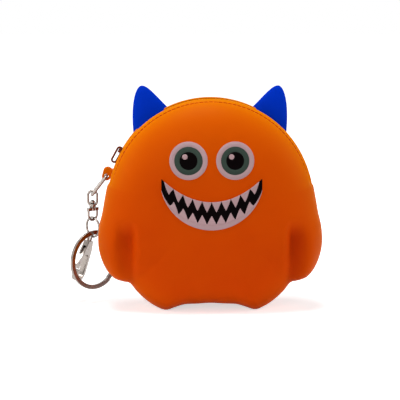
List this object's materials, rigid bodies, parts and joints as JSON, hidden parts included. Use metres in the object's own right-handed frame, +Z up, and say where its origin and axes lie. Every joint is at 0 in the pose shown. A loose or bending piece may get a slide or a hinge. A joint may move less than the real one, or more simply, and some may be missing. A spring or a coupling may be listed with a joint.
{
  "type": "zip coin purse",
  "caption": "Round-topped moulded silicone coin purse in the form of a small horned monster, zipped round its top, with a key chain, split key ring and snap clasp at one side.",
  "frame": {"origin": "on the ground midway between the two feet, in the plane where the front and back halves part", "axes": "+X to the purse's left as seen from the front picture's right, +Y to the back, +Z up"},
  "size_m": [0.1251, 0.0434, 0.1101],
  "materials": {
    "silicone": "satin orange silicone",
    "ear_silicone": "satin blue silicone",
    "zip_tape": "orange woven tape",
    "zip_teeth": "orange moulded zip teeth",
    "dark_metal": "dark bronze plated",
    "nickel": "nickel plated steel",
    "spring_steel": "bright spring steel",
    "print_lilac": "pale lilac printed silicone",
    "print_green": "dark green printed silicone",
    "print_black": "black printed silicone"
  },
  "bodies": {
    "back": {"back_shell": "silicone", "ear_left": "ear_silicone", "ear_right": "ear_silicone", "zip_tape_back": "zip_tape", "zip_teeth_back": "zip_teeth", "zip_stop_closed": "dark_metal", "zip_stop_open": "dark_metal", "key_tab": "silicone"},
    "front": {"front_shell": "silicone", "zip_tape_front": "zip_tape", "zip_teeth_front": "zip_teeth", "eye_rings": "print_lilac", "irises": "print_green", "pupils": "print_black", "glints": "print_lilac", "mouth": "print_black", "grin_teeth_print": "print_lilac", "lip_print": "print_lilac"},
    "slider": {"zip_slider": "dark_metal"},
    "pull": {"zip_pull": "dark_metal"},
    "link": {"upper_link": "nickel"},
    "swivel": {"swivel_eye": "nickel"},
    "yoke": {"swivel_pin": "nickel", "swivel_yoke": "nickel"},
    "loop": {"lower_link": "nickel"},
    "ring": {"key_ring": "nickel"},
    "clasp": {"clasp_body": "nickel", "clasp_pin": "nickel", "clasp_spring": "spring_steel"},
    "lever": {"clasp_lever": "nickel"}
  },
  "joints": [
    {"name": "mouth_open", "type": "hinge", "parent": "back", "child": "front", "pos_m": [0, 0, 0], "axis": [1, 0, 0], "range_deg": [0, 12], "stiffness_Nm_per_rad": 0.08, "springref_deg": -5.73},
    {"name": "zip_slide", "type": "hinge", "parent": "back", "child": "slider", "pos_m": [0, 0, 0.0547], "axis": [0, 1, 0], "range_deg": [0, 135]},
    {"name": "pull_swing", "type": "hinge", "parent": "slider", "child": "pull", "pos_m": [-0.04435, 0, 0.07928], "axis": [0, 1, 0], "range_deg": [0, 150]},
    {"name": "link_swing", "type": "hinge", "parent": "back", "child": "link", "pos_m": [-0.0514, 0.0105, 0.065], "axis": [0, 1, 0], "range_deg": [0, 90]},
    {"name": "swivel_swing", "type": "hinge", "parent": "link", "child": "swivel", "pos_m": [-0.05858, 0.012, 0.05564], "axis": [0, 1, 0], "range_deg": [0, 60]},
    {"name": "yoke_spin", "type": "hinge", "parent": "swivel", "child": "yoke", "pos_m": [-0.05858, 0.012, 0.04862], "axis": [0, 0, 1], "range_deg": [0, 45]},
    {"name": "loop_swing", "type": "hinge", "parent": "yoke", "child": "loop", "pos_m": [-0.05858, 0.012, 0.04242], "axis": [0.7431, 0.6691, 0], "range_deg": [0, 60]},
    {"name": "ring_swing", "type": "hinge", "parent": "loop", "child": "ring", "pos_m": [-0.05788, 0.01122, 0.03401], "axis": [-0.6691, 0.7431, 0], "range_deg": [0, 60]},
    {"name": "clasp_swing", "type": "hinge", "parent": "loop", "child": "clasp", "pos_m": [-0.05985, 0.01341, 0.03428], "axis": [-0.6691, 0.7431, 0], "range_deg": [-8, 50]},
    {"name": "lever_press", "type": "hinge", "parent": "clasp", "child": "lever", "pos_m": [-0.06241, 0.01213, 0.02772], "axis": [0.887, -0.3723, -0.2733], "range_deg": [0, 18], "stiffness_Nm_per_rad": 0.002, "springref_deg": -17.19}
  ]
}
